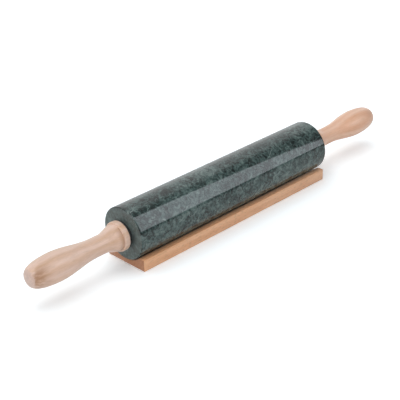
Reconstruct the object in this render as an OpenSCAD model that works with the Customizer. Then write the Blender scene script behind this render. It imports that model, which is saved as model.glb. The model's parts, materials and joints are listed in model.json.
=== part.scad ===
// Marble rolling pin with turned wooden handles, lying in a wooden cradle.
// X runs along the pin and Z is up. The origin is on the table, under the middle of the pin.
// Each end's small parts are drawn upwards from the barrel's end face and then turned to that end.

/* [Barrel] */
// Diameter of the marble barrel
barrel_d = 51; // [48:0.5:66]
// Length of the marble barrel
barrel_len = 254; // [180:1:330]
// Round on the two rims of the barrel
rim_r = 1; // [0.5:0.1:4]
// Diameter of the hole drilled through the marble
bore_d = 16; // [14:0.5:18]

/* [Bushings] */
// Diameter of the flange that spaces the handle from the marble
flange_d = 24; // [22:0.5:27]
// Depth of the flange's seat in the end of the marble
flange_seat = 1.4; // [0.8:0.1:3]
// Height of the flange outside the marble
flange_proud = 2.4; // [0.6:0.1:4]
// Length of the bushing behind the flange's seat
bushing_len = 18; // [10:0.5:30]

/* [Axle] */
// Diameter of the steel rod
rod_d = 8; // [6:0.5:9]
// Length of the rod beyond each end of the marble
rod_reach = 23; // [18:0.5:25]
// Pitch of the thread on the rod's ends
thread_pitch = 1.25; // [1:0.05:1.5]
// Depth of the thread
thread_depth = 0.6; // [0.3:0.05:0.8]
// Bevel on the rod's ends
rod_bevel = 0.8; // [0.4:0.1:1.2]
// Diameter of the washer behind each flange
washer_d = 16; // [14:0.5:18]
// Thickness of the washer
washer_t = 1.6; // [1:0.1:2]
// Width of the jam nut across its flats
nut_flats = 13; // [12:0.5:15]
// Thickness of the jam nut
nut_t = 4; // [3:0.5:5]
// Diameter of the threaded insert in the handle
insert_d = 12; // [11:0.5:13]
// Length of the threaded insert
insert_len = 16; // [12:0.5:18]

/* [Handles] */
// Length of a handle from the collar's face to the tip
handle_len = 102.5; // [90:0.5:130]
// Diameter of the collar next to the marble
collar_d = 28.5; // [28:0.5:36]
// Width of the collar
collar_w = 6.2; // [5:0.2:10]
// Round on the collar's two edges
collar_round = 1.2; // [0.4:0.1:1.8]
// Diameter at the foot of the collar, where the handle starts to narrow
foot_d = 25.4; // [24:0.2:30]
// Length over which the handle narrows to its neck
flare_len = 15.8; // [10:0.2:22]
// Diameter of the neck
neck_d = 18.2; // [17:0.2:22]
// Length of the straight neck
neck_len = 9; // [2:0.5:16]
// Diameter of the handle at its widest
belly_d = 27.4; // [24:0.2:34]
// Distance from the collar's face to the widest place
belly_at = 74.4; // [64:0.2:80]
// Depth of the drilled hole past the end of the rod
drill_past = 5; // [3:0.5:10]

/* [Cradle] */
// How far the cradle reaches past each end of the marble
cradle_past = -1.7; // [-10:0.1:10]
// Height of the cradle
cradle_h = 11.6; // [9:0.1:18]
// Thickness of the wood under the trough
floor_t = 5.3; // [2:0.1:6]
// Width of the flat on each side of the trough
land_w = 7.4; // [3:0.1:12]
// Round on the long edges of the cradle
cradle_round = 0.6; // [0.3:0.1:1.2]

/* [Clearances] */
// Gap between the barrel and the trough
trough_gap = 0.3; // [0.3:0.05:1]
// Gap around the rod inside the bushings
running_fit = 0.05; // [0.02:0.01:0.1]
// Gap around pieces that are pressed or glued in
glue_fit = 0.02; // [0.01:0.01:0.05]
// Gap around the rod in the nuts and inserts
thread_fit = 0.05; // [0.02:0.01:0.1]
// Gap around the rod in the washers
washer_fit = 0.2; // [0.1:0.05:0.4]
// Play between a flange and its washer
end_play = 0.3; // [0.2:0.05:0.5]
// Gap between a flange and the handle's collar
collar_gap = 0.8; // [0.6:0.05:1.5]
// Gap around the washer and nut in the handle's pocket
pocket_gap = 1; // [0.5:0.1:1.5]
// Gap between the nut and the insert
nut_gap = 0.1; // [0.05:0.05:0.3]

/* [Hidden] */
LEFT = 180;
RIGHT = 0;
$fn = 96;
// Length by which a cutting shape runs past the face it cuts
past = 1;
// Number of steps in a drawn curve
curve_steps = 14;
// How fast the handle falls from its belly, and how blunt its tip is
tip_fall = 1.8;
tip_blunt = 4.4;

barrel_r = barrel_d / 2;
rod_r = rod_d / 2;
trough_r = barrel_r + trough_gap;
axis_z = floor_t + trough_r;
trough_half_w = sqrt(pow(trough_r, 2) - pow(axis_z - cradle_h, 2));
cradle_w = 2 * (trough_half_w + land_w);
cradle_len = barrel_len + 2 * cradle_past;

// Heights above the barrel's end face
washer_at = flange_proud + end_play;
nut_at = washer_at + washer_t;
insert_at = nut_at + nut_t + nut_gap;
handle_at = flange_proud + collar_gap;

nut_corner_d = nut_flats / cos(30);
pocket_d = max(washer_d, nut_corner_d) + 2 * pocket_gap;
insert_thread_pitch = 3;
insert_thread_depth = 0.7;

collar_r = collar_d / 2;
neck_at = collar_w + flare_len;
swell_at = neck_at + neck_len;

// Points of a circle's arc from angle a to angle b, as [radius, height]
function arc(cx, cy, r, a, b) =
    [for (i = [0:6]) let (t = a + (b - a) * i / 6) [cx + r * cos(t), cy + r * sin(t)]];

// Points of a smooth change of radius from r1 at height h1 to r2 at height h2
function blend(h1, r1, h2, r2) =
    [for (i = [0:curve_steps]) let (t = i / curve_steps)
        [r1 + (r2 - r1) * (1 - cos(180 * t)) / 2, h1 + (h2 - h1) * t]];

// Points of the handle's round end, from its belly to its tip
function tip_curve(h, r, reach) =
    [for (i = [1:curve_steps]) let (t = 90 * i / curve_steps)
        [i < curve_steps ? r * pow(cos(t), 2 / tip_blunt) : 0, h + reach * pow(sin(t), 2 / tip_fall)]];

// Points of V-shaped thread grooves between two heights on a shaft of radius r
function thread(h1, h2, r, pitch, depth) =
    [for (i = [0:floor((h2 - h1) / pitch) - 1], side = [0, 1])
        [r - side * depth, h1 + (i + side / 2) * pitch]];

// Turns what is drawn upwards from the barrel's end face to the right or left end of the pin
module at_end(end) {
    translate([0, 0, axis_z])
        rotate([0, 0, end])
            translate([barrel_len / 2, 0, 0])
                rotate([0, 90, 0])
                    children();
}

// Plain shaft from one height to another, used as a body or as a cutter
module shaft(d, from, to) {
    translate([0, 0, from]) cylinder(d = d, h = to - from);
}

// Square corner with its round taken out, which cuts a convex round of radius r
module corner_cut(r) {
    difference() {
        square(r);
        circle(r);
    }
}

module cradle() {
    corner_y = cradle_w / 2 - cradle_round;
    color("#c08858")
        rotate([90, 0, 90])
            linear_extrude(height = cradle_len, center = true)
                difference() {
                    translate([-cradle_w / 2, 0]) square([cradle_w, cradle_h]);
                    translate([0, axis_z]) circle(r = trough_r);
                    for (side = [0, 1]) mirror([side, 0]) {
                        translate([corner_y, cradle_h - cradle_round]) corner_cut(cradle_round);
                        translate([corner_y, cradle_round]) mirror([0, 1]) corner_cut(cradle_round);
                    }
                }
}

module marble_barrel() {
    color("#46534f") {
        translate([0, 0, axis_z]) rotate([0, 90, 0]) difference() {
            rotate_extrude() difference() {
                translate([0, -barrel_len / 2]) square([barrel_r, barrel_len]);
                for (end = [0, 1]) mirror([0, end])
                    translate([barrel_r - rim_r, barrel_len / 2 - rim_r]) corner_cut(rim_r);
            }
            cylinder(d = bore_d, h = barrel_len + 2 * past, center = true);
            for (end = [0, 1]) mirror([0, 0, end])
                shaft(flange_d + 2 * glue_fit, barrel_len / 2 - flange_seat, barrel_len / 2 + past);
        }
    }
}

module axle_rod() {
    half_len = barrel_len / 2 + rod_reach;
    thread_from = barrel_len / 2 + washer_at;
    half = concat(thread(thread_from, half_len - rod_bevel, rod_r, thread_pitch, thread_depth),
                  [[rod_r, half_len - rod_bevel], [rod_r - rod_bevel, half_len], [0, half_len]]);
    other_half = [for (i = [len(half) - 1:-1:0]) [half[i][0], -half[i][1]]];
    color("#b9bcc0")
        translate([0, 0, axis_z])
            rotate([0, 90, 0])
                rotate_extrude()
                    polygon(concat(other_half, half));
}

module bushing(end) {
    color("#26282a") at_end(end) difference() {
        union() {
            shaft(bore_d - 2 * glue_fit, -flange_seat - bushing_len, -flange_seat);
            shaft(flange_d, -flange_seat, flange_proud);
        }
        shaft(rod_d + 2 * running_fit, -flange_seat - bushing_len - past, flange_proud + past);
    }
}

module washer(end) {
    color("#c3c6c8") at_end(end) difference() {
        shaft(washer_d, washer_at, nut_at);
        shaft(rod_d + 2 * washer_fit, washer_at - past, nut_at + past);
    }
}

module jam_nut(end) {
    chamfer = (nut_corner_d - nut_flats) / 2;
    color("#b4b7ba") at_end(end) translate([0, 0, nut_at]) difference() {
        intersection() {
            cylinder(d = nut_corner_d, h = nut_t, $fn = 6);
            rotate_extrude() polygon([[0, 0], [nut_flats / 2, 0], [nut_corner_d / 2, chamfer],
                                      [nut_corner_d / 2, nut_t - chamfer], [nut_flats / 2, nut_t], [0, nut_t]]);
        }
        shaft(rod_d + 2 * thread_fit, -past, nut_t + past);
    }
}

module threaded_insert(end) {
    r = insert_d / 2;
    color("#c8a250") at_end(end) translate([0, 0, insert_at]) difference() {
        rotate_extrude() polygon(concat([[0, 0]], thread(0, insert_len, r, insert_thread_pitch, insert_thread_depth),
                                        [[r, insert_len], [0, insert_len]]));
        shaft(rod_d + 2 * thread_fit, -past, insert_len + past);
    }
}

module handle(end) {
    drill_end = rod_reach + drill_past - handle_at;
    outline = concat([[0, 0]],
                     arc(collar_r - collar_round, collar_round, collar_round, -90, 0),
                     arc(collar_r - collar_round, collar_w - collar_round, collar_round, 0, 90),
                     blend(collar_w, foot_d / 2, neck_at, neck_d / 2),
                     blend(swell_at, neck_d / 2, belly_at, belly_d / 2),
                     tip_curve(belly_at, belly_d / 2, handle_len - belly_at));
    color("#d9b08c") at_end(end) translate([0, 0, handle_at]) difference() {
        rotate_extrude() polygon(outline);
        shaft(pocket_d, -past, insert_at - handle_at);
        shaft(insert_d + 2 * glue_fit, 0, insert_at + insert_len - handle_at);
        shaft(rod_d + 2 * thread_fit, 0, drill_end);
    }
}

cradle();
marble_barrel();
axle_rod();
bushing(LEFT);  // left_bushing
bushing(RIGHT);  // right_bushing
washer(LEFT);  // left_washer
washer(RIGHT);  // right_washer
jam_nut(LEFT);  // left_jam_nut
jam_nut(RIGHT);  // right_jam_nut
threaded_insert(LEFT);  // left_threaded_insert
threaded_insert(RIGHT);  // right_threaded_insert
handle(LEFT);  // left_handle
handle(RIGHT);  // right_handle
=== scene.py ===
# %% [markdown]
# # A marble rolling pin in its wooden cradle
# The real thing is a polished stone barrel that turns on a hidden steel rod, two turned wooden
# handles, and a low block of wood with a trough that keeps the barrel from rolling off the table.
# The solids come from CAD in metres, so every piece here is made where its solid already is.
# Stone, handles and cradle are modelled again with finer curves. The small metal and nylon
# pieces inside keep their CAD shape and only get a finish.

import json
import math

import bpy
from mathutils import Matrix, Vector


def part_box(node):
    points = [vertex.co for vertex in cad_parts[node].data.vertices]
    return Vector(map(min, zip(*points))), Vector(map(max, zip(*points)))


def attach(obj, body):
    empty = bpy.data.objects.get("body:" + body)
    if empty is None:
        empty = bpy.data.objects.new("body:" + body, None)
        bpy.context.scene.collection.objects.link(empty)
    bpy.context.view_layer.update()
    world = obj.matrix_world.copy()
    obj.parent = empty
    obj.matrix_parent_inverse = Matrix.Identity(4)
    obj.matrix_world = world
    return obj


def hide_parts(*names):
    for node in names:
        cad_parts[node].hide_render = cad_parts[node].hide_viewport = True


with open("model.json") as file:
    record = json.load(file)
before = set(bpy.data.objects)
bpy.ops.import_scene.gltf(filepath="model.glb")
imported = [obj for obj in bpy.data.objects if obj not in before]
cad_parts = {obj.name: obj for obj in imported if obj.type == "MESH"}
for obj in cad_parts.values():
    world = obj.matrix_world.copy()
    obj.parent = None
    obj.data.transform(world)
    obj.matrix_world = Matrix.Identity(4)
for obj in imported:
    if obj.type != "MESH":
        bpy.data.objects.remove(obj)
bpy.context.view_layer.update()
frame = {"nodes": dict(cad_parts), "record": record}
MM = 0.001
print("solids:", sorted(frame["nodes"]))

# %% [markdown]
# ## The camera
# The picture is taken from the front left and about 30 degrees above the table, with a long lens,
# so that the far handle looks nearly as large as the near one. Place, aim and lens were found by
# laying the outlines of a cylinder and a block over the picture. The horizon isn't quite level,
# which takes a small roll. The camera is placed by numbers, because a fitted view can't be
# reached by eye.

# %% Camera
camera_place = Vector((-0.64929, -0.63713, 0.49324))
camera_back = Vector((-0.61724, -0.63509, 0.46441))
camera_right = Vector((0.70738, -0.70636, -0.02581))

camera_data = bpy.data.cameras.new("camera")
camera_data.lens = 94.78
camera_data.sensor_width = 36
camera_data.clip_start = 0.01
camera = bpy.data.objects.new("camera", camera_data)
bpy.context.scene.collection.objects.link(camera)
camera_back.normalize()
camera_up = camera_back.cross(camera_right).normalized()
camera_turn = Matrix((camera_up.cross(camera_back), camera_up, camera_back)).transposed()
camera.matrix_world = Matrix.Translation(camera_place) @ camera_turn.to_4x4()
bpy.context.scene.camera = camera
bpy.context.scene.view_settings.view_transform = "Standard"
print("camera to pin:", round(camera_place.length, 3), "m")

# %% [markdown]
# ## Nodes and colours
# Every finish below is a small graph of nodes. One function adds a node with its settings, fixed
# values and links, and one turns a colour as a paint program writes it into the linear numbers
# that the renderer adds up.

# %% Helpers for finishes
def linear(code):
    """Linear colour of an sRGB hex code."""
    parts = [int(code[i:i + 2], 16) / 255 for i in (1, 3, 5)]
    return tuple(p / 12.92 if p <= 0.04045 else ((p + 0.055) / 1.055) ** 2.4 for p in parts) + (1.0,)


def add_node(tree, kind, values=None, links=None, stops=None, **settings):
    """Adds one node, with fixed socket values, links from other sockets and a ramp's stops."""
    made = tree.nodes.new(kind)
    for name, setting in settings.items():
        setattr(made, name, setting)
    for socket, number in (values or {}).items():
        made.inputs[socket].default_value = number
    for socket, source in (links or {}).items():
        tree.links.new(source, made.inputs[socket])
    for i, (place, colour) in enumerate(stops or []):
        ramp = made.color_ramp
        stop = ramp.elements[i] if i < 2 else ramp.elements.new(place)
        stop.position = place
        stop.color = colour
    return made


def new_finish(name):
    """An empty node tree in a new material."""
    finish = bpy.data.materials.new(name)
    finish.use_nodes = True
    finish.node_tree.nodes.clear()
    return finish, finish.node_tree


print("mid grey is", [round(p, 3) for p in linear("#808080")])

# %% [markdown]
# ## The studio
# The pin lies on a white sheet under very soft light, so its shadows are faint and lie right under
# it. A polished barrel is a mirror for its surroundings: it shows the white sheet and wall behind
# it as a bright fade along the top, the dark room overhead as a dark band, and one large softbox
# at the front right as a sharp pale strip. The world gives the first two: for lighting a fill that
# is a little stronger from behind and from the left, and for gloss a bright side behind the pin
# that fades to a dark side overhead and towards the camera. For the camera it is white. The lamps
# are rectangles: one overhead and one low at the front give light without showing in the polish,
# and the softbox and a small one at the left, which edges the rims, show only in the polish.

# %% World
world = bpy.data.worlds.new("studio")
bpy.context.scene.world = world
world.use_nodes = True
sky = world.node_tree
sky.nodes.clear()
facing = add_node(sky, "ShaderNodeTexCoord")
facing_parts = add_node(sky, "ShaderNodeSeparateXYZ", links={0: facing.outputs["Generated"]})
bright_side = add_node(
    sky, "ShaderNodeMapRange", interpolation_type="SMOOTHSTEP",
    values={"From Min": -0.1, "From Max": 0.34, "To Min": 0.235, "To Max": 1.08},
    links={"Value": facing_parts.outputs["Y"]},
)
ray = add_node(sky, "ShaderNodeLightPath")
fill_slope = add_node(
    sky, "ShaderNodeVectorMath", operation="DOT_PRODUCT", values={1: (-0.26, 0.5, 0.0)},
    links={0: facing.outputs["Generated"]},
)
fill = add_node(
    sky, "ShaderNodeMath", operation="ADD", values={1: 0.64},
    links={0: fill_slope.outputs["Value"]},
)
gloss_or_fill = add_node(
    sky, "ShaderNodeMix", data_type="FLOAT",
    links={
        "Factor": ray.outputs["Is Glossy Ray"],
        "A": fill.outputs[0],
        "B": bright_side.outputs["Result"],
    },
)
seen = add_node(
    sky, "ShaderNodeMix", data_type="FLOAT", values={"B": 1.0},
    links={"Factor": ray.outputs["Is Camera Ray"], "A": gloss_or_fill.outputs["Result"]},
)
backdrop = add_node(
    sky, "ShaderNodeBackground", values={"Color": (1, 1, 1, 1)},
    links={"Strength": seen.outputs["Result"]},
)
add_node(sky, "ShaderNodeOutputWorld", links={"Surface": backdrop.outputs[0]})
print("world nodes:", len(sky.nodes))

# %% Softbox and overhead light
def add_panel(name, place, away, size, power, turn=0.0):
    """A rectangular light that shines back along the direction away."""
    data = bpy.data.lights.new(name, "AREA")
    data.shape = "RECTANGLE"
    data.size, data.size_y = size
    data.energy = power
    panel = bpy.data.objects.new(name, data)
    bpy.context.scene.collection.objects.link(panel)
    across = Vector((0, 0, 1)).cross(away) if abs(away.z) < 0.99 else Vector((1, 0, 0))
    across.normalize()
    up = away.cross(across)
    turned = Matrix((across, up, away)).transposed() @ Matrix.Rotation(turn, 3, "Z")
    panel.matrix_world = Matrix.Translation(place) @ turned.to_4x4()
    panel.visible_camera = False
    return panel


softbox_away = Vector((0.8517, -0.3100, 0.4226))
softbox_right = Vector((0.4199, 0.8861, -0.1962))
softbox_up = Vector((-0.3137, 0.3445, 0.8848))
softbox_size = (1.2, 1.536)
softbox_radiance = 2.8
softbox_distance, softbox_left, softbox_raised = 1.3, 0.91, 0.254
softbox_turn = math.radians(-19.6)
softbox_place = (
    softbox_away * softbox_distance - softbox_right * softbox_left + softbox_up * softbox_raised
)
softbox = add_panel(
    "softbox", softbox_place, softbox_away, size=softbox_size,
    power=softbox_radiance * math.pi * softbox_size[0] * softbox_size[1], turn=softbox_turn,
)
softbox.data.color = (0.9, 0.94, 1.0)
softbox.visible_diffuse = False
rim_light_distance, lamp_distance = 1.5, 1.6
rim_light_away = Vector((-0.69, 0.0, 0.66)).normalized()
rim_light = add_panel(
    "rim light", rim_light_away * rim_light_distance, rim_light_away, size=(0.9, 0.7), power=12.0
)
rim_light.visible_diffuse = False
overhead_away = Vector((0, 0.05, 1)).normalized()
overhead = add_panel(
    "overhead", overhead_away * lamp_distance, overhead_away, size=(1.4, 1.4), power=8.4
)
overhead.visible_glossy = False
side_away = Vector((-0.25, -0.93, 0.27)).normalized()
side = add_panel("side", side_away * lamp_distance, side_away, size=(1.1, 0.6), power=7.5)
side.visible_glossy = False
print("softbox at", [round(v, 2) for v in softbox_place])

# %% [markdown]
# ## The white sheet
# The sheet is a plain diffuse white. What the camera sees of it is lifted just enough to be
# white, in the shader and not by more light, so the soft shadow stays. Further out, where the
# lamps no longer reach, it is lifted more, so that it has no edge against the wall from any side.

# %% Floor
def deselect():
    """Object mode with nothing selected and no active object."""
    if bpy.context.mode != "OBJECT":
        bpy.ops.object.mode_set(mode="OBJECT")
    bpy.ops.object.select_all(action="DESELECT")
    bpy.context.view_layer.objects.active = None


floor_side = 12
sheet_white = (0.84, 0.85, 0.86, 1)
lifted_near, lifted_far = (1.25, 1.325, 1.37, 1), (1.8, 1.8, 1.8, 1)
lift_from, lift_to = 0.35, 0.9

deselect()
bpy.ops.mesh.primitive_plane_add(size=floor_side, location=(0, 0, 0))
floor = bpy.context.object
floor.name = "floor"
white_sheet, tree = new_finish("white_sheet")
ray = add_node(tree, "ShaderNodeLightPath")
sheet_place = add_node(tree, "ShaderNodeTexCoord")
from_pin = add_node(
    tree, "ShaderNodeVectorMath", operation="LENGTH", links={0: sheet_place.outputs["Object"]},
)
far_off = add_node(
    tree, "ShaderNodeMapRange", interpolation_type="SMOOTHSTEP",
    values={"From Min": lift_from, "From Max": lift_to}, links={"Value": from_pin.outputs["Value"]},
)
lifted = add_node(
    tree, "ShaderNodeMix", data_type="RGBA", values={"A": lifted_near, "B": lifted_far},
    links={"Factor": far_off.outputs["Result"]},
)
sheet_colour = add_node(
    tree, "ShaderNodeMix", data_type="RGBA", values={"A": sheet_white},
    links={"Factor": ray.outputs["Is Camera Ray"], "B": lifted.outputs["Result"]},
)
sheet = add_node(tree, "ShaderNodeBsdfDiffuse", links={"Color": sheet_colour.outputs["Result"]})
add_node(tree, "ShaderNodeOutputMaterial", links={"Surface": sheet.outputs[0]})
floor.data.materials.append(white_sheet)
print("floor:", floor.dimensions[:2])

# %% [markdown]
# ## Modelling by hand, in code
# The pieces below are made with the same tools as at the screen: a primitive is added, shaped in
# edit mode and then cleaned. Two helpers do what is needed again and again: picking the faces
# that meet a rule, and finishing a mesh, which merges doubles, turns all faces outwards and
# smooths what isn't a real edge.

# %% Helpers for meshes
def edit(piece):
    """Edit mode on one piece."""
    deselect()
    piece.select_set(True)
    bpy.context.view_layer.objects.active = piece
    bpy.ops.object.mode_set(mode="EDIT")


def pick_faces(piece, rule):
    """Selects only the faces whose centre and normal meet the rule, and goes on in edit mode."""
    bpy.ops.object.mode_set(mode="OBJECT")
    mesh = piece.data
    for kind in (mesh.vertices, mesh.edges, mesh.polygons):
        kind.foreach_set("select", [False] * len(kind))
    for face in mesh.polygons:
        face.select = rule(face.center, face.normal)
    bpy.ops.object.mode_set(mode="EDIT")
    bpy.ops.mesh.select_mode(type="FACE")


def pick_edges(piece, rule):
    """Selects only the edges whose two ends meet the rule, and goes on in edit mode."""
    bpy.ops.object.mode_set(mode="OBJECT")
    mesh = piece.data
    for kind in (mesh.vertices, mesh.edges, mesh.polygons):
        kind.foreach_set("select", [False] * len(kind))
    for line in mesh.edges:
        line.select = all(rule(mesh.vertices[i].co) for i in line.vertices)
    bpy.ops.object.mode_set(mode="EDIT")
    bpy.ops.mesh.select_mode(type="EDGE")


def clean(piece, name, smooth_below=30):
    """Merges doubles, turns faces outwards and smooths below an angle in degrees."""
    edit(piece)
    bpy.ops.mesh.select_all(action="SELECT")
    bpy.ops.mesh.remove_doubles(threshold=0.000005)
    bpy.ops.mesh.normals_make_consistent(inside=False)
    bpy.ops.object.mode_set(mode="OBJECT")
    bpy.ops.object.transform_apply(location=True, rotation=True, scale=True)
    bpy.ops.object.shade_smooth_by_angle(angle=math.radians(smooth_below))
    piece.name = name
    piece.data.name = name
    print(name, len(piece.data.polygons), "faces,", [round(v / MM, 2) for v in piece.dimensions], "mm")


barrel_low, barrel_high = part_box("marble_barrel")
spin_joint = [j for j in frame["record"]["behaviour"]["joints"] if j["name"] == "barrel_spin"][0]
axis_z = spin_joint["pos_m"][2]
barrel_r = min(barrel_high.z - axis_z, barrel_high.y)
barrel_end = barrel_high.x
print("barrel radius", round(barrel_r / MM, 2), "axis height", round(axis_z / MM, 2))

# %% [markdown]
# ## The marble barrel
# The real barrel is turned from one block, drilled through, its ends sawn and ground flat, its
# rims eased with a small round. Each end has a shallow seat for the bushing's flange. A cylinder
# is added at its size, its ends are inset and pushed in for the seat, and the two bores are
# bridged through the stone. Two cuts near the ends and a narrow ring in each end face hold the
# shading, so that the flat faces stay flat right up to the rounded rims.

# %% Model the barrel
rim_r = 1 * MM
seat_r = 12.02 * MM
seat_depth = 1.4 * MM
bore_r = 8 * MM
flat_edge = 1.3 * rim_r
barrel_sides = 192


def on_axis(centre):
    """Whether a face's centre lies on the pin's axis."""
    return abs(centre.z - axis_z) + abs(centre.y) < MM


deselect()
bpy.ops.mesh.primitive_cylinder_add(
    vertices=barrel_sides, radius=barrel_r, depth=2 * barrel_end,
    location=(0, 0, axis_z), rotation=(0, math.pi / 2, 0),
)
barrel = bpy.context.object
bpy.ops.object.transform_apply(location=True, rotation=True, scale=True)
edit(barrel)
for end in (-1, 1):
    bpy.ops.mesh.select_all(action="SELECT")
    bpy.ops.mesh.bisect(plane_co=(end * (barrel_end - flat_edge), 0, 0), plane_no=(1, 0, 0))
pick_faces(barrel, lambda centre, normal: abs(normal.x) > 0.9)
bpy.ops.mesh.inset(thickness=flat_edge)
bpy.ops.mesh.inset(thickness=barrel_r - flat_edge - seat_r)
for end in (-1, 1):
    pick_faces(barrel, lambda centre, normal: end * normal.x > 0.9 and on_axis(centre))
    bpy.ops.mesh.extrude_region_move(TRANSFORM_OT_translate={"value": (-end * seat_depth, 0, 0)})
    bpy.ops.mesh.inset(thickness=seat_r - bore_r)
pick_faces(barrel, lambda centre, normal: abs(normal.x) > 0.9 and on_axis(centre))
bpy.ops.mesh.bridge_edge_loops()
print("bore bridged:", len(barrel.data.polygons), "faces before the rims")

# %% Round the rims
hair = 0.01 * MM
pick_edges(
    barrel,
    lambda co: abs(abs(co.x) - barrel_end) < hair
    and abs(math.hypot(co.y, co.z - axis_z) - barrel_r) < hair,
)
bpy.ops.mesh.bevel(offset=rim_r, segments=8, profile=0.5)
clean(barrel, "polished_barrel")
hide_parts("marble_barrel")
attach(barrel, "barrel")

# %% [markdown]
# ## The handles
# A handle is turned on a lathe, and so is this one: the outline of half its section is drawn
# point by point, from the bottom of the drilled hole, out over the collar and along the neck and
# belly to the tip, and then spun about the pin's axis. The one vertex that starts the outline is
# a plane merged to a point. The curves between collar, neck and belly are half cosine waves, as
# in the CAD source, but with more points, so that the outline is smooth in a close view.

# %% The handle's outline
handle_low, handle_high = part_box("left_handle")
handle_face = handle_high.x
handle_len = (handle_high.x - handle_low.x) / MM
curve_steps = 36


def wave(from_u, from_r, to_u, to_r):
    """Points of a smooth change of radius, as distance from the collar's face and radius."""
    steps = [i / curve_steps for i in range(curve_steps + 1)]
    return [
        (from_u + (to_u - from_u) * t, from_r + (to_r - from_r) * (1 - math.cos(math.pi * t)) / 2)
        for t in steps
    ]


def arc(u, r, size, start, stop):
    """Points of a circle's arc between two angles in degrees, measured from straight outwards."""
    turns = [math.radians(start + (stop - start) * i / 8) for i in range(9)]
    return [(u + size * math.sin(a), r + size * math.cos(a)) for a in turns]


rod_hole_u, rod_hole_r = 24.8, 4.05
insert_u, insert_r = 21.2, 6.02
nut_u, nut_r = 5.2, 9
collar_len, collar_r, collar_foot_r = 6.2, 14.25, 12.7
face_round, neck_round = 1.2, 1.3
neck_from, neck_to, neck_r = 22, 31, 9.1
belly_u, belly_r = 74.4, 13.7
tip_along, tip_across = 2 / 1.8, 2 / 4.4

outline = [
    (rod_hole_u, 0), (rod_hole_u, rod_hole_r), (insert_u, rod_hole_r), (insert_u, insert_r),
    (nut_u, insert_r), (nut_u, nut_r), (0, nut_r),
]
outline += arc(face_round, collar_r - face_round, face_round, -90, 0)
outline += arc(collar_len - neck_round, collar_r - neck_round, neck_round, 0, 90)
outline += wave(collar_len, collar_foot_r, neck_from, neck_r)
outline += wave(neck_to, neck_r, belly_u, belly_r)
outline += [
    (
        belly_u + (handle_len - belly_u) * math.sin(a) ** tip_along,
        belly_r * math.cos(a) ** tip_across,
    )
    for a in [math.radians(90 * i / curve_steps) for i in range(1, curve_steps)]
]
outline += [(handle_len, 0)]
print("outline:", len(outline), "points over", round(handle_len, 2), "mm")

# %% Spin the left handle
deselect()
bpy.ops.mesh.primitive_plane_add(size=MM, location=(0, 0, 0))
left_handle = bpy.context.object
edit(left_handle)
bpy.ops.mesh.select_mode(type="VERT")
bpy.ops.mesh.select_all(action="SELECT")
bpy.ops.mesh.merge(type="CENTER")
points = [Vector((handle_face - u * MM, 0, axis_z + r * MM)) for u, r in outline]
bpy.ops.transform.translate(value=points[0])
for before, after in zip(points, points[1:]):
    bpy.ops.mesh.extrude_region_move(TRANSFORM_OT_translate={"value": after - before})
bpy.ops.mesh.select_all(action="SELECT")
bpy.ops.mesh.spin(steps=128, angle=2 * math.pi, center=(0, 0, axis_z), axis=(1, 0, 0))
clean(left_handle, "turned_handle_left")
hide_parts("left_handle")
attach(left_handle, "axle")

# %% Copy it to the right end
deselect()
left_handle.select_set(True)
bpy.context.view_layer.objects.active = left_handle
right_handle = left_handle.copy()
right_handle.data = left_handle.data.copy()
for note in list(right_handle.keys()):
    del right_handle[note]
right_handle.parent = None
right_handle.matrix_world = Matrix.Rotation(math.pi, 4, "Z")
bpy.context.scene.collection.objects.link(right_handle)
clean(right_handle, "turned_handle_right")
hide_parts("right_handle")
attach(right_handle, "axle")

# %% [markdown]
# ## The cradle
# The cradle is a low strip of hardwood with a round trough routed along it. A cube is added at the
# strip's size, a cylinder a little wider than the barrel cuts the trough, and all real edges are
# broken with a narrow bevel, as sandpaper does. The trough is cut before the bevel, so that its
# lips and its ends get the same eased edge. It is half a millimetre wider than the solid's, so
# that the gap along the stone reads as a thin dark line.

# %% Model the cradle
cradle_low, cradle_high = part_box("cradle")
trough_gap = 0.8 * MM
trough_sides = 384
cutter_len = 0.4
edge_width = 0.35 * MM

deselect()
bpy.ops.mesh.primitive_cube_add(
    size=1, location=(cradle_low + cradle_high) / 2, scale=cradle_high - cradle_low
)
cradle = bpy.context.object
bpy.ops.object.transform_apply(location=True, rotation=True, scale=True)
bpy.ops.mesh.primitive_cylinder_add(
    vertices=trough_sides, radius=barrel_r + trough_gap, depth=cutter_len,
    location=(0, 0, axis_z), rotation=(0, math.pi / 2, 0),
)
trough_cutter = bpy.context.object
bpy.ops.object.transform_apply(location=True, rotation=True, scale=True)
deselect()
cradle.select_set(True)
bpy.context.view_layer.objects.active = cradle
trough = cradle.modifiers.new("trough", "BOOLEAN")
trough.operation = "DIFFERENCE"
trough.object = trough_cutter
bpy.ops.object.modifier_apply(modifier="trough")
bpy.data.objects.remove(trough_cutter)
eased = cradle.modifiers.new("eased edges", "BEVEL")
eased.width = edge_width
eased.segments = 3
eased.limit_method = "ANGLE"
eased.angle_limit = math.radians(30)
bpy.ops.object.modifier_apply(modifier="eased edges")
clean(cradle, "trough_cradle", 25)
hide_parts("cradle")
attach(cradle, "cradle")

# %% [markdown]
# ## The marble finish
# Green marble is serpentine and calcite: small cloudy crystals of grey green in a nearly black
# ground, with a few fine pale veins. Ground smooth and polished, it keeps its colour deep inside
# and carries a clear mirror gloss on top, so it is a dielectric with a typical stone IOR of 1.5
# and a low roughness. The pattern runs through the stone in three dimensions, so that it meets
# itself at the rims. The clouds are about 9 mm across, the crystals about 3 mm and the veins half a
# millimetre, which is as fine as shows. The sawn ends scatter the light, so they are matt and a
# little paler.

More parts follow.
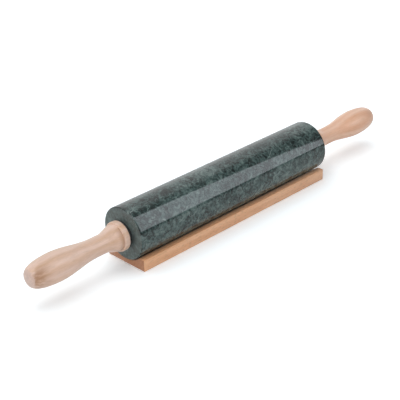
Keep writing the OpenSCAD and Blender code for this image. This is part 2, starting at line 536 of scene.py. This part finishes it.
# %% Marble
def marble(name, roughness, bump, paler):
    """Green marble through and through, with the surface polished or sawn."""
    finish, tree = new_finish(name)
    place = add_node(tree, "ShaderNodeTexCoord")
    in_mm = add_node(
        tree, "ShaderNodeMapping", values={"Scale": (1000, 1000, 1000)},
        links={"Vector": place.outputs["Object"]},
    )
    swirl = add_node(
        tree, "ShaderNodeTexNoise", values={"Scale": 1 / 9, "Detail": 3, "Roughness": 0.6},
        links={"Vector": in_mm.outputs[0]},
    )
    swirl_middle = add_node(
        tree, "ShaderNodeVectorMath", operation="SUBTRACT", values={1: (0.5, 0.5, 0.5)},
        links={0: swirl.outputs["Color"]},
    )
    swirled = add_node(
        tree, "ShaderNodeVectorMath", operation="MULTIPLY_ADD", values={1: (14, 14, 14)},
        links={0: swirl_middle.outputs[0], 2: in_mm.outputs[0]},
    )
    clouds = add_node(
        tree, "ShaderNodeTexNoise", values={"Scale": 1 / 9, "Detail": 5, "Roughness": 0.65},
        links={"Vector": swirled.outputs[0]},
    )
    crystals = add_node(
        tree, "ShaderNodeTexNoise", values={"Scale": 1 / 3.2, "Detail": 2.5, "Roughness": 0.5},
        links={"Vector": swirled.outputs[0]},
    )
    body = add_node(
        tree, "ShaderNodeMix", data_type="FLOAT", values={"Factor": 0.55},
        links={"A": clouds.outputs["Fac"], "B": crystals.outputs["Fac"]},
    )
    patches = add_node(
        tree, "ShaderNodeTexNoise", values={"Scale": 1 / 34, "Detail": 1},
        links={"Vector": in_mm.outputs[0]},
    )
    patchy = add_node(
        tree, "ShaderNodeMath", operation="MULTIPLY_ADD", values={1: 0.3},
        links={0: patches.outputs["Fac"], 2: body.outputs["Result"]},
    )
    ground_level = add_node(
        tree, "ShaderNodeMath", operation="SUBTRACT", values={1: 0.15},
        links={0: patchy.outputs[0]},
    )
    ground = add_node(
        tree, "ShaderNodeValToRGB", links={"Fac": ground_level.outputs[0]},
        stops=[
            (0.38, linear("#111D1C")), (0.64, linear("#62736F")),
            (0.44, linear("#283837")), (0.50, linear("#3B4D4B")), (0.57, linear("#4F6260")),
        ],
    )
    wisp_field = add_node(
        tree, "ShaderNodeTexNoise", values={"Scale": 1 / 7, "Detail": 2, "Roughness": 0.5},
        links={"Vector": swirled.outputs[0]},
    )
    wisp_off = add_node(
        tree, "ShaderNodeMath", operation="SUBTRACT", values={1: 0.5},
        links={0: wisp_field.outputs["Fac"]},
    )
    wisp_away = add_node(tree, "ShaderNodeMath", operation="ABSOLUTE", links={0: wisp_off.outputs[0]})
    wisp = add_node(
        tree, "ShaderNodeMapRange",
        values={"From Min": 0.0, "From Max": 0.035, "To Min": 0.32, "To Max": 0.0},
        links={"Value": wisp_away.outputs[0]},
    )
    wisped = add_node(
        tree, "ShaderNodeMix", data_type="RGBA", values={"B": linear("#798784")},
        links={"Factor": wisp.outputs[0], "A": ground.outputs["Color"]},
    )
    spot_field = add_node(
        tree, "ShaderNodeTexNoise", values={"Scale": 1 / 3.4, "Detail": 2},
        links={"Vector": swirled.outputs[0]},
    )
    spot_where = add_node(
        tree, "ShaderNodeTexNoise", values={"Scale": 1 / 24, "Detail": 1},
        links={"Vector": in_mm.outputs[0]},
    )
    spot_level = add_node(
        tree, "ShaderNodeMath", operation="MULTIPLY",
        links={0: spot_field.outputs["Fac"], 1: spot_where.outputs["Fac"]},
    )
    spots = add_node(
        tree, "ShaderNodeMapRange", values={"From Min": 0.3, "From Max": 0.36, "To Max": 0.75},
        links={"Value": spot_level.outputs[0]},
    )
    spotted = add_node(
        tree, "ShaderNodeMix", data_type="RGBA", values={"B": linear("#17201F")},
        links={"Factor": spots.outputs[0], "A": wisped.outputs["Result"]},
    )
    vein_field = add_node(
        tree, "ShaderNodeTexNoise", values={"Scale": 1 / 42, "Detail": 2.5, "Distortion": 0.5},
        links={"Vector": in_mm.outputs[0]},
    )
    vein_far = add_node(
        tree, "ShaderNodeMath", operation="COMPARE", values={1: 0.5, 2: 0.0028},
        links={0: vein_field.outputs["Fac"]},
    )
    vein_where = add_node(
        tree, "ShaderNodeTexNoise", values={"Scale": 1 / 30, "Detail": 1},
        links={"Vector": swirled.outputs[0]},
    )
    vein_mask = add_node(
        tree, "ShaderNodeMapRange", values={"From Min": 0.52, "From Max": 0.62, "To Max": 0.75},
        links={"Value": vein_where.outputs["Fac"]},
    )
    vein = add_node(
        tree, "ShaderNodeMath", operation="MULTIPLY",
        links={0: vein_far.outputs[0], 1: vein_mask.outputs[0]},
    )
    veined = add_node(
        tree, "ShaderNodeMix", data_type="RGBA", values={"B": linear("#8C9B98")},
        links={"Factor": vein.outputs[0], "A": spotted.outputs["Result"]},
    )
    scattered = add_node(
        tree, "ShaderNodeMix", data_type="RGBA",
        values={"Factor": paler, "B": linear("#9FAAA8")}, links={"A": veined.outputs["Result"]},
    )
    grit = add_node(
        tree, "ShaderNodeTexNoise", values={"Scale": 1 / 0.8, "Detail": 3},
        links={"Vector": in_mm.outputs[0]},
    )
    surface = add_node(
        tree, "ShaderNodeBump", values={"Strength": bump, "Distance": 0.0001},
        links={"Height": grit.outputs["Fac"]},
    )
    shader = add_node(
        tree, "ShaderNodeBsdfPrincipled", values={"Roughness": roughness, "IOR": 1.5},
        links={"Base Color": scattered.outputs["Result"], "Normal": surface.outputs[0]},
    )
    add_node(tree, "ShaderNodeOutputMaterial", links={"Surface": shader.outputs[0]})
    return finish


barrel.data.materials.append(marble("green_marble_polished", 0.07, 0.0, 0.0))
barrel.data.materials.append(marble("green_marble_sawn", 0.5, 0.3, 0.18))
for face in barrel.data.polygons:
    off_axis = math.hypot(face.center.y, face.center.z - axis_z)
    face.material_index = int(abs(face.normal.x) > 0.99 or off_axis < seat_r)
print("sawn faces:", sum(face.material_index for face in barrel.data.polygons))

# %% [markdown]
# ## The two woods
# The handles are pale beech, turned along the grain, sanded and lightly oiled: a satin surface
# with soft lengthwise bands, some pinkish and some tan, and very fine fibres. A board's bands are
# the tree's year rings, so the pattern is made the same way: rings about a line beside the handle,
# wavered by noise. Where the line lies above a handle, its side shows straight stripes, and where
# it lies in front, the belly shows ovals. The blunt tip cuts across the fibres, so it is a paler
# patch of end grain with a ragged brown edge where the lathe's stub was sawn off. On the front
# side, the corner beside the collar gets a painted shade, browner towards the collar. The cradle is
# a warmer and more even piece with short dark flecks, the cut ends of its rays. Its end faces are
# darker, partly as oiled end grain and partly as painted shade, and its top carries a painted light,
# lighter and redder. A faint sheen stands for raised fibres.

# %% Wood
def beech(name, colours, tree_centre, ring_mm, ring_share, fleck, tip_brown=0.0, end_grain_and_shade=None,
          top_painted_light=None):
    """Oiled beech with rings about a line along X, at tree_centre in millimetres from the pin's axis."""
    finish, tree = new_finish(name)
    place = add_node(tree, "ShaderNodeTexCoord")
    in_mm = add_node(
        tree, "ShaderNodeMapping",
        values={"Scale": (1000, 1000, 1000), "Location": (0, 0, -axis_z / MM)},
        links={"Vector": place.outputs["Object"]},
    )
    stretched = add_node(
        tree, "ShaderNodeMapping", values={"Scale": (0.1, 1, 1)},
        links={"Vector": in_mm.outputs[0]},
    )
    waver = add_node(
        tree, "ShaderNodeTexNoise", values={"Scale": 1 / 9, "Detail": 3, "Roughness": 0.55},
        links={"Vector": stretched.outputs[0]},
    )
    waver_middle = add_node(
        tree, "ShaderNodeVectorMath", operation="SUBTRACT", values={1: (0.5, 0.5, 0.5)},
        links={0: waver.outputs["Color"]},
    )
    wavered = add_node(
        tree, "ShaderNodeVectorMath", operation="MULTIPLY_ADD", values={1: (0, 6, 6)},
        links={0: waver_middle.outputs[0], 2: stretched.outputs[0]},
    )
    from_tree = add_node(
        tree, "ShaderNodeVectorMath", operation="SUBTRACT", values={1: (0, *tree_centre)},
        links={0: wavered.outputs[0]},
    )
    rings = add_node(
        tree, "ShaderNodeTexWave", wave_type="RINGS", rings_direction="X",
        values={"Scale": 0.314 / ring_mm, "Distortion": 0.0},
        links={"Vector": from_tree.outputs[0]},
    )
    streaks = add_node(
        tree, "ShaderNodeTexNoise", values={"Scale": 1 / 4, "Detail": 4, "Roughness": 0.6},
        links={"Vector": stretched.outputs[0]},
    )
    band = add_node(
        tree, "ShaderNodeMix", data_type="FLOAT", values={"Factor": 1 - ring_share},
        links={"A": rings.outputs["Fac"], "B": streaks.outputs["Fac"]},
    )
    wood = add_node(
        tree, "ShaderNodeValToRGB", links={"Fac": band.outputs["Result"]},
        stops=[(0.25, linear(colours[0])), (0.75, linear(colours[2])), (0.5, linear(colours[1]))],
    )
    fibre_place = add_node(
        tree, "ShaderNodeMapping", values={"Scale": (0.05, 1, 1)},
        links={"Vector": in_mm.outputs[0]},
    )
    fibre = add_node(
        tree, "ShaderNodeTexNoise", values={"Scale": 1 / 1.1, "Detail": 3, "Roughness": 0.6},
        links={"Vector": fibre_place.outputs[0]},
    )
    fibre_tone = add_node(
        tree, "ShaderNodeMapRange",
        values={"From Min": 0.3, "From Max": 0.7, "To Min": 0.94, "To Max": 1.05},
        links={"Value": fibre.outputs["Fac"]},
    )
    fleck_place = add_node(
        tree, "ShaderNodeMapping", values={"Scale": (0.25, 1, 1)},
        links={"Vector": in_mm.outputs[0]},
    )
    flecks = add_node(
        tree, "ShaderNodeTexNoise", values={"Scale": 1 / 1.1, "Detail": 1},
        links={"Vector": fleck_place.outputs[0]},
    )
    fleck_tone = add_node(
        tree, "ShaderNodeMapRange",
        values={"From Min": 0.54, "From Max": 0.68, "To Min": 1.0, "To Max": 1.0 - fleck},
        links={"Value": flecks.outputs["Fac"]},
    )
    tone = add_node(
        tree, "ShaderNodeMath", operation="MULTIPLY",
        links={0: fibre_tone.outputs[0], 1: fleck_tone.outputs[0]},
    )
    facing = add_node(
        tree, "ShaderNodeVectorMath", operation="ABSOLUTE", links={0: place.outputs["Normal"]},
    )
    facing_parts = add_node(tree, "ShaderNodeSeparateXYZ", links={0: facing.outputs[0]})
    # End faces are darker, partly as end grain and partly as painted shade; faces that look up or down
    # get a painted light, lighter and redder.
    tinted_and_lit = wood.outputs["Color"]
    for axis, tint in (("X", end_grain_and_shade), ("Z", top_painted_light)):
        if tint:
            faces = add_node(
                tree, "ShaderNodeMapRange", values={"From Min": 0.8, "From Max": 0.95},
                links={"Value": facing_parts.outputs[axis]},
            )
            tinted_and_lit = add_node(
                tree, "ShaderNodeMix", data_type="RGBA", blend_type="MULTIPLY", values={"B": tint},
                links={"Factor": faces.outputs[0], "A": tinted_and_lit},
            ).outputs["Result"]
    toned = add_node(
        tree, "ShaderNodeVectorMath", operation="SCALE",
        links={0: tinted_and_lit, "Scale": tone.outputs[0]},
    )
    colour = toned.outputs[0]
    if tip_brown:
        colour = turned_tip(tree, in_mm, streaks, toned, tip_brown)
    surface = add_node(
        tree, "ShaderNodeBump", values={"Strength": 0.25, "Distance": 0.0002},
        links={"Height": fibre.outputs["Fac"]},
    )
    shader = add_node(
        tree, "ShaderNodeBsdfPrincipled", values={"Roughness": 0.4, "IOR": 1.45, "Sheen Weight": 0.45},
        links={"Base Color": colour, "Normal": surface.outputs[0]},
    )
    add_node(tree, "ShaderNodeOutputMaterial", links={"Surface": shader.outputs[0]})
    return finish


# %% The turned tip of a handle
tip_x = -handle_low.x / MM
collar_x = -handle_face / MM + collar_len
cap_depth, cap_from_r, cap_to_r = 7, 10.9, 10.1
brown_from, brown_to = tip_x - 22, tip_x - 2
front_from, front_to = -3.0, -9.0
# Width in millimetres of the painted shade beside the collar.
collar_shade_width = 6


def turned_tip(tree, in_mm, streaks, toned, brown):
    """Pale end grain on the tip, its ragged brown edge, a brown streak, and painted shade by the collar.
    """
    parts = add_node(tree, "ShaderNodeSeparateXYZ", links={0: in_mm.outputs[0]})
    along = add_node(tree, "ShaderNodeMath", operation="ABSOLUTE", links={0: parts.outputs["X"]})
    across = add_node(
        tree, "ShaderNodeCombineXYZ", links={"Y": parts.outputs["Y"], "Z": parts.outputs["Z"]},
    )
    off_axis = add_node(tree, "ShaderNodeVectorMath", operation="LENGTH", links={0: across.outputs[0]})
    ragged = add_node(
        tree, "ShaderNodeTexNoise", values={"Scale": 1 / 2.2, "Detail": 3, "Roughness": 0.7},
        links={"Vector": in_mm.outputs[0]},
    )
    rough_radius = add_node(
        tree, "ShaderNodeMath", operation="MULTIPLY_ADD", values={1: 5.0},
        links={0: ragged.outputs["Fac"], 2: off_axis.outputs["Value"]},
    )
    at_tip = add_node(
        tree, "ShaderNodeMath", operation="GREATER_THAN", values={1: tip_x - cap_depth},
        links={0: along.outputs[0]},
    )
    cap = add_node(
        tree, "ShaderNodeMapRange", values={"From Min": cap_from_r, "From Max": cap_to_r},
        links={"Value": rough_radius.outputs[0], "To Max": at_tip.outputs[0]},
    )
    edge = add_node(
        tree, "ShaderNodeMapRange", interpolation_type="SMOOTHSTEP",
        values={"From Min": brown_from, "From Max": brown_to, "To Max": brown},
        links={"Value": along.outputs[0]},
    )
    streaked = add_node(
        tree, "ShaderNodeMapRange", values={"From Min": 0.7, "From Max": 0.4},
        links={"Value": streaks.outputs["Fac"]},
    )
    one_side = add_node(
        tree, "ShaderNodeMapRange", interpolation_type="SMOOTHSTEP",
        values={"From Min": front_from, "From Max": front_to}, links={"Value": parts.outputs["Y"]},
    )
    sided = add_node(
        tree, "ShaderNodeMath", operation="MULTIPLY",
        links={0: streaked.outputs[0], 1: one_side.outputs[0]},
    )
    # Painted shade: on the front side the flare darkens to brown towards the collar, over a few
    # millimetres.
    collar_shade_fade = add_node(
        tree, "ShaderNodeMapRange", interpolation_type="SMOOTHSTEP",
        values={"From Min": collar_x + collar_shade_width, "From Max": collar_x, "To Max": 0.8},
        links={"Value": along.outputs[0]},
    )
    off_collar = add_node(
        tree, "ShaderNodeMath", operation="GREATER_THAN", values={1: collar_x},
        links={0: along.outputs[0]},
    )
    foot_shade_part = add_node(
        tree, "ShaderNodeMath", operation="MULTIPLY",
        links={0: collar_shade_fade.outputs[0], 1: off_collar.outputs[0]},
    )
    foot_painted_shade = add_node(
        tree, "ShaderNodeMath", operation="MULTIPLY",
        links={0: foot_shade_part.outputs[0], 1: one_side.outputs[0]},
    )
    # The brown mix holds the tip's brown streak, which is grain, and the painted shade beside the
    # collar.
    brown_and_shade = add_node(
        tree, "ShaderNodeMath", operation="MULTIPLY_ADD",
        links={0: edge.outputs[0], 1: sided.outputs[0], 2: foot_painted_shade.outputs[0]},
    )
    browned_and_shaded = add_node(
        tree, "ShaderNodeMix", data_type="RGBA", values={"B": linear("#A87E60")},
        links={"Factor": brown_and_shade.outputs[0], "A": toned.outputs[0]},
    )
    pore_tone = add_node(
        tree, "ShaderNodeMapRange", values={"To Min": 0.66, "To Max": 1.2},
        links={"Value": ragged.outputs["Fac"]},
    )
    end_grain = add_node(
        tree, "ShaderNodeVectorMath", operation="SCALE", values={0: linear("#D9BBAC")[:3]},
        links={"Scale": pore_tone.outputs[0]},
    )
    capped = add_node(
        tree, "ShaderNodeMix", data_type="RGBA",
        links={"Factor": cap.outputs[0], "A": browned_and_shaded.outputs["Result"], "B": end_grain.outputs[0]},
    )
    return capped.outputs["Result"]


left_wood = beech("beech_pale", ("#D1AB8E", "#D8B6A0", "#DFC1B1"), (23, 33), 9, 0.3, 0.05, 0.95)
right_wood = beech("beech_rosy", ("#DAA685", "#DFB193", "#E6BEA5"), (-31, 17), 8, 0.45, 0.05, 0.4)
# The cradle's end faces are darkened, partly as end grain and partly as painted shade, and its top gets
# a painted light.
cradle_wood = beech(
    "beech_warm", ("#DA9F73", "#E4AF85", "#ECBB94"), (-60, -45), 4, 0.15, 0.2,
    end_grain_and_shade=(0.6, 0.46, 0.36, 1), top_painted_light=(1.18, 1.03, 0.84, 1),
)
for piece, finish in ((left_handle, left_wood), (right_handle, right_wood), (cradle, cradle_wood)):
    piece.data.materials.clear()
    piece.data.materials.append(finish)
    print(piece.name, "is", finish.name)

# %% [markdown]
# ## The small pieces inside
# The rod, nuts, washers, inserts and bushings keep their CAD shape. Only a thin dark ring of each
# bushing's flange shows, between the stone and the collar, but every piece gets the finish of the
# real one, so that the pin can be taken apart. Metals keep the default IOR; each finish is two
# close tones in a fine grain, which also varies its roughness and bumps it a little.

# %% Metal and nylon
def small_finish(name, light, dark, metallic, roughness, spread, size_mm, bump):
    """Two close tones in a fine grain, with the roughness varied by the same grain."""
    finish, tree = new_finish(name)
    place = add_node(tree, "ShaderNodeTexCoord")
    grain = add_node(
        tree, "ShaderNodeTexNoise", values={"Scale": 1000 / size_mm, "Detail": 3},
        links={"Vector": place.outputs["Object"]},
    )
    colour = add_node(
        tree, "ShaderNodeMix", data_type="RGBA", values={"A": linear(dark), "B": linear(light)},
        links={"Factor": grain.outputs["Fac"]},
    )
    gloss = add_node(
        tree, "ShaderNodeMapRange",
        values={"To Min": roughness - spread, "To Max": roughness + spread},
        links={"Value": grain.outputs["Fac"]},
    )
    surface = add_node(
        tree, "ShaderNodeBump", values={"Strength": bump, "Distance": 0.0001},
        links={"Height": grain.outputs["Fac"]},
    )
    shader = add_node(
        tree, "ShaderNodeBsdfPrincipled", values={"Metallic": metallic},
        links={
            "Base Color": colour.outputs["Result"],
            "Roughness": gloss.outputs[0],
            "Normal": surface.outputs[0],
        },
    )
    add_node(tree, "ShaderNodeOutputMaterial", links={"Surface": shader.outputs[0]})
    return finish


finishes = {
    "axle_rod": small_finish("drawn_steel", "#C9CCD0", "#B4B8BD", 1.0, 0.3, 0.08, 0.6, 0.1),
    "washer": small_finish("zinc_plated_steel", "#D2D5D7", "#BFC4C8", 1.0, 0.35, 0.1, 1.5, 0.05),
    "jam_nut": small_finish("zinc_plated_nut", "#CDD1D4", "#B9BFC4", 1.0, 0.32, 0.1, 1.5, 0.05),
    "threaded_insert": small_finish("turned_brass", "#DDBB72", "#CDA65A", 1.0, 0.28, 0.08, 0.5, 0.1),
    "bushing": small_finish("black_nylon", "#2E3032", "#232527", 0.0, 0.55, 0.08, 0.4, 0.2),
}
for name, finish in finishes.items():
    for node in frame["nodes"]:
        if node.endswith(name):
            frame["nodes"][node].material_slots[0].material = finish
            print(node, "gets", finish.name)
